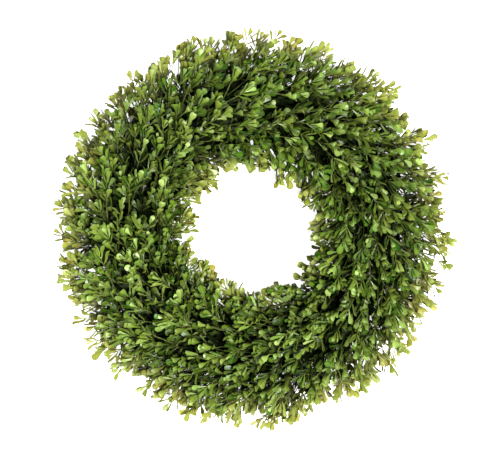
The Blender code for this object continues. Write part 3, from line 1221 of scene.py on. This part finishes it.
        # The drum's height becomes the way along the bunch, and its middle line the core of the form.
        for point in core.data.vertices:
            turn = math.atan2(point.co.y, point.co.x)
            side = self.core_out if point.co.x > 0 else self.core_in
            reach = mixed(side, self.core_up if point.co.y > 0 else self.core_down, math.sin(turn) ** 2)
            depth = point.co.xy.length * reach * draw.uniform(*self.core_range)
            point.co = self.form.point((point.co.z + 0.5) * self.form.sector, turn, depth)
        core.data.materials.append(self.shade)
        for name in ("underside", "tint", "youth_and_backlight"):
            marked(core.data, name, 0.0)
        return core


@dataclass
class Ties:
    """The wires that tie the bunches on.

    Each makes two turns round both rails and the cut stems, and its ends are twisted together.
    """

    form: WreathForm
    finish: bpy.types.Material
    wire_radius: float = 0.00065
    gap: float = 0.0003
    held: float = 0.0157
    stems_height: float = 0.00965
    stems_half_height: float = 0.0050
    turns: int = 2
    corner_steps: int = 4
    corner_radius: float = 0.0022
    corner_share: float = 0.4
    tail: float = 0.0100
    tail_start: tuple[float, float, float] = (-0.0006, 0.0, 0.0035)
    tail_way: tuple[float, float, float] = (-0.6, 0.0, 0.8)
    tail_steps: int = 16
    tail_twists: float = 2.5
    sides: int = 6

    def build(self) -> None:
        """Models one tie and sets a copy of it round each bunch."""
        route = self.route()
        model = Stem(route, [self.wire_radius] * len(route), self.sides, self.finish).build()
        for number in range(self.form.bunches):
            name = f"bunch_tie_{number + 1:02d}"
            angle = self.form.start(number) - self.form.tie_place
            spot = self.form.on_frame(-angle, 0, 0)
            tie = copied(model, Matrix.Translation(spot) @ Matrix.Rotation(angle, 4, "Z"), f"{name}_wire")
            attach(tie, BODY)
            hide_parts(name)
            log.info("%s: wire", name)
        away(model)

    def corners(self) -> list[Vector]:
        """Lays out one turn, from the inner rail under both rails and back over the stems.

        Returns:
            The corners of the turn, across the frame and up.
        """
        clear = self.wire_radius + self.gap
        side = self.held + clear
        top = self.stems_height + self.stems_half_height + clear
        # Over the stems the wire follows the upper corners of an octagon.
        slope = math.tan(math.pi / 8)
        shoulder = self.stems_height + (self.stems_half_height + clear) * slope
        right = [(side, self.wire_radius), (side, shoulder), (side * slope, top)]
        left = [(-side * slope, top), (-side, shoulder)]
        return [Vector(corner) for corner in [(-side, self.wire_radius), *right, *left]]

    def route(self) -> list[Vector]:
        """Lays out the wire.

        Returns:
            The wire's middle line: one twisted end, the turns and the other twisted end.
        """
        corners = self.corners()
        turned = []
        for place in range(self.turns * len(corners)):
            corner = corners[place % len(corners)]
            beside = (place / len(corners) - self.turns / 2) * 2 * self.wire_radius
            turned.append(Vector((corner.x, beside, corner.y)))
        start = turned[0] + Vector(self.tail_start)
        ends = []
        for phase in (0.0, math.pi):
            end = []
            for step in range(self.tail_steps + 1):
                share = step / self.tail_steps
                swing = phase + share * self.tail_twists * FULL_TURN
                round_axis = Vector((0, math.cos(swing), math.sin(swing))) * self.wire_radius
                end.append(start + Vector(self.tail_way) * self.tail * share + round_axis)
            ends.append(end)
        middle = self.rounded([ends[0][0], *turned, ends[1][0]])
        return [*reversed(ends[0][1:]), *middle, *ends[1][1:]]

    def rounded(self, route: list[Vector]) -> list[Vector]:
        """Rounds the corners between a route's two ends.

        Args:
            route: The route with sharp corners.

        Returns:
            The route with round ones.
        """
        smooth = [route[0]]
        for before, corner, after in zip(route, route[1:], route[2:]):
            into = corner - before
            out = after - corner
            longest = self.corner_share * min(into.length, out.length)
            reach = min(self.corner_radius, longest)
            first = corner - into.normalized() * reach
            last = corner + out.normalized() * reach
            for step in range(self.corner_steps + 1):
                share = step / self.corner_steps
                smooth.append(first.lerp(corner, share).lerp(corner.lerp(last, share), share))
        smooth.append(route[-1])
        return smooth


@dataclass
class Frame:
    """The frame's two round wires, each closed with a butt weld, and the short bars welded between them.

    Each station of a bar has its place between the wires, from -1 to 1, and its share of the weld bead.
    """

    form: WreathForm
    finish: bpy.types.Material
    rail_offset: float = 0.0140
    wire_radius: float = 0.0017
    height: float = 0.00307
    segments: int = 140
    sides: int = 10
    weld_bulge: float = 1.28
    weld_reach: float = 0.0014
    bars: int = 7
    bar_radius: float = 0.0015
    bar_sunk: float = 0.6
    bar_stations: tuple[Span, ...] = (
        (-1.0, 1.0),
        (-0.93, 0.4),
        (-0.85, 0.0),
        (0.0, 0.0),
        (0.85, 0.0),
        (0.93, 0.4),
        (1.0, 1.0),
    )
    bead: float = 0.0004
    smooth_below: float = math.radians(60)

    def build(self) -> None:
        """Models the rails and the bars and lets each stand for its node."""
        self.rail("frame_outer_rail", self.form.core_circle + self.rail_offset)
        self.rail("frame_inner_rail", self.form.core_circle - self.rail_offset)
        for number in range(self.bars):
            self.bar(f"frame_bar_{number + 1}")

    def rail(self, node: str, radius: float) -> None:
        """Models one round wire.

        Args:
            node: The node that it stands for.
            radius: The radius of the wire's middle line.
        """
        bpy.ops.object.select_all(action="DESELECT")
        bpy.ops.mesh.primitive_torus_add(
            major_segments=self.segments,
            minor_segments=self.sides,
            major_radius=radius,
            minor_radius=self.wire_radius,
            location=(0, 0, 0),
        )
        rail = bpy.context.object
        with editing(rail):
            # The one ring of points at the weld swells into a bead.
            pick_points(rail, lambda co: co.x > 0 and abs(co.y) < self.weld_reach)
            bulge = (self.weld_bulge, 1, self.weld_bulge)
            bpy.ops.transform.resize(value=bulge, center_override=(radius, 0, 0))
            bpy.ops.mesh.select_all(action="SELECT")
            bpy.ops.transform.translate(value=(0, 0, self.height))
        rail.data.materials.append(self.finish)
        self.settle(rail, node)

    def bar(self, node: str) -> None:
        """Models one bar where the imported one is, ending in weld beads on both round wires.

        Args:
            node: The node that it stands for.
        """
        low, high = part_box(node)
        middle = (Vector(low) + Vector(high)) / 2
        across = middle.xy.to_3d().normalized()
        reach = self.rail_offset - self.bar_sunk * self.wire_radius
        path = []
        radii = []
        for place, flare in self.bar_stations:
            path.append(across * (self.form.core_circle + place * reach) + UP * self.height)
            radii.append(self.bar_radius + flare * self.bead)
        self.settle(Stem(path, radii, self.sides, self.finish).build(), node)

    def settle(self, piece: bpy.types.Object, node: str) -> None:
        """Smooths a piece of the frame and lets it stand for its node.

        Args:
            piece: The rail or bar.
            node: The node.
        """
        piece.name = f"{node}_wire"
        only(piece)
        bpy.ops.object.shade_smooth_by_angle(angle=self.smooth_below)
        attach(piece, BODY)
        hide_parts(node)
        log.info("%s: wire", node)


@dataclass(frozen=True)
class Lamp:
    """One soft light: the way to it from the wreath, how far off and how large it is, and its power."""

    name: str
    way: tuple[float, float, float]
    distance: float
    size: float
    power: float


@dataclass
class Studio:
    """A round white cove, soft lights and the camera.

    The wreath's middle lies this many pixels right of the picture's middle and below it. The scale of a pixel
    holds at the scale height.
    """

    radius: float = 12.0
    wall: float = 2.4
    sides: int = 96
    bend: float = 0.8
    bend_steps: int = 12
    white: Colour = (0.85, 0.85, 0.85)
    roughness: float = 0.9
    glow: float = 0.85
    surround: float = 0.03
    lamps: tuple[Lamp, ...] = (
        Lamp("key", (0.26, -0.20, 1.0), 4.0, 1.10, 680.0),
        Lamp("fill", (-0.85, 0.65, 0.5), 4.0, 2.5, 150.0),
    )
    frame_width: int = 501
    metres_per_pixel: float = 0.0014
    lens: float = 100.0
    sensor: float = 36.0
    middle: Span = (2.0, 1.0)
    scale_height: float = 0.035

    def build(self) -> None:
        """Makes the studio."""
        self.cove()
        self.lights()
        self.camera()

    def cove(self) -> None:
        """A pale floor that runs up into a round wall and glows a little, like a light table."""
        bpy.ops.object.select_all(action="DESELECT")
        bpy.ops.mesh.primitive_cylinder_add(
            vertices=self.sides, radius=self.radius, depth=self.wall, location=(0, 0, self.wall / 2)
        )
        cove = bpy.context.object
        cove.name = "studio_cove"
        with editing(cove):
            # A drum without its top, whose lower edge is bent and whose faces point inwards, is the cove.
            bpy.ops.mesh.select_mode(type="FACE")
            bpy.ops.mesh.select_all(action="DESELECT")
            cage = bmesh.from_edit_mesh(cove.data)
            for face in cage.faces:
                face.select_set(face.normal.z > 0.5)
            bpy.ops.mesh.delete(type="FACE")
            bpy.ops.mesh.select_mode(type="VERT")
            pick_points(cove, lambda co: co.z < 0)
            bpy.ops.mesh.bevel(offset=self.bend, segments=self.bend_steps)
            bpy.ops.mesh.select_all(action="SELECT")
            bpy.ops.mesh.flip_normals()
        cove.data.transform(cove.matrix_world)
        cove.matrix_world = Matrix.Identity(4)
        only(cove)
        bpy.ops.object.shade_smooth()
        shader = Shader.named("studio_white")
        pale = shader.node("ShaderNodeBsdfPrincipled")
        pale.inputs["Base Color"].default_value = (*self.white, 1)
        pale.inputs["Roughness"].default_value = self.roughness
        pale.inputs["Emission Color"].default_value = (1, 1, 1, 1)
        pale.inputs["Emission Strength"].default_value = self.glow
        cove.data.materials.append(shader.surface(pale))

    def lights(self) -> None:
        """The soft lights and a faint surround."""
        world = bpy.data.worlds.new("studio_surround")
        world.use_nodes = True
        background = world.node_tree.nodes["Background"]
        background.inputs["Color"].default_value = (1, 1, 1, 1)
        background.inputs["Strength"].default_value = self.surround
        bpy.context.scene.world = world
        for lamp in self.lamps:
            light = bpy.data.lights.new(f"studio_{lamp.name}", "AREA")
            light.size = lamp.size
            light.energy = lamp.power
            stand = bpy.data.objects.new(f"studio_{lamp.name}", light)
            stand.location = Vector(lamp.way).normalized() * lamp.distance
            stand.rotation_euler = (-stand.location).to_track_quat("-Z", "Y").to_euler()
            bpy.context.scene.collection.objects.link(stand)

    def camera(self) -> None:
        """The camera, straight above the wreath and framed as in the photograph."""
        data = bpy.data.cameras.new("studio_camera")
        data.lens = self.lens
        data.sensor_width = self.sensor
        camera = bpy.data.objects.new("studio_camera", data)
        width = self.frame_width * self.metres_per_pixel
        height = self.scale_height + width * self.lens / self.sensor
        right, down = self.middle
        camera.location = (-right * self.metres_per_pixel, down * self.metres_per_pixel, height)
        bpy.context.scene.collection.objects.link(camera)
        bpy.context.scene.camera = camera
        bpy.context.scene.view_settings.view_transform = "Standard"


def main() -> None:
    """Builds each piece in its place."""
    logging.basicConfig(level=logging.INFO, format="%(message)s")
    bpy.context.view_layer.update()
    leaf_green = LeafFinish().material()
    bark = BarkFinish("boxwood_bark", (0.013, 0.023, 0.002), (0.082, 0.094, 0.020), gloss=0.05)
    wood = BarkFinish("boxwood_old_wood", (0.036, 0.026, 0.016), (0.150, 0.112, 0.070))
    fresh_cut = BarkFinish("boxwood_cut_wood", (0.360, 0.270, 0.140), (0.520, 0.420, 0.240), grain=900.0)
    # The inner twigs' near-black colours are painted shade for the depths of the foliage.
    shade = BarkFinish(
        "boxwood_inner_twigs_painted_shade", (0.001, 0.002, 0.001), (0.004, 0.006, 0.002), (0.002, 0.003, 0.001), gloss=0.0
    )
    rail_paint = WireFinish("rail_paint", (0.018, 0.045, 0.022))
    tie_paint = WireFinish("tie_paint", (0.030, 0.070, 0.030), metallic=0.5)
    form = WreathForm()
    leaf = Leaf()
    leaves = [leaf.build(habit, leaf_green) for habit in LeafHabit]
    twig_bark = bark.material()
    twigs = [
        Twig(seed=TWIG_SEED + number, pairs=1 + number % MOST_PAIRS).build(leaves, twig_bark)
        for number in range(TWIG_MODELS)
    ]
    stems = CutStems(form, wood.material(), fresh_cut.material())
    inner = shade.material()
    for number in range(form.bunches):
        Bunch(form, number, twigs, stems, inner).build()
    for model in (*leaves, *twigs):
        away(model)
    Ties(form, tie_paint.material()).build()
    Frame(form, rail_paint.material()).build()
    Studio().build()


if __name__ == "__main__":
    main()
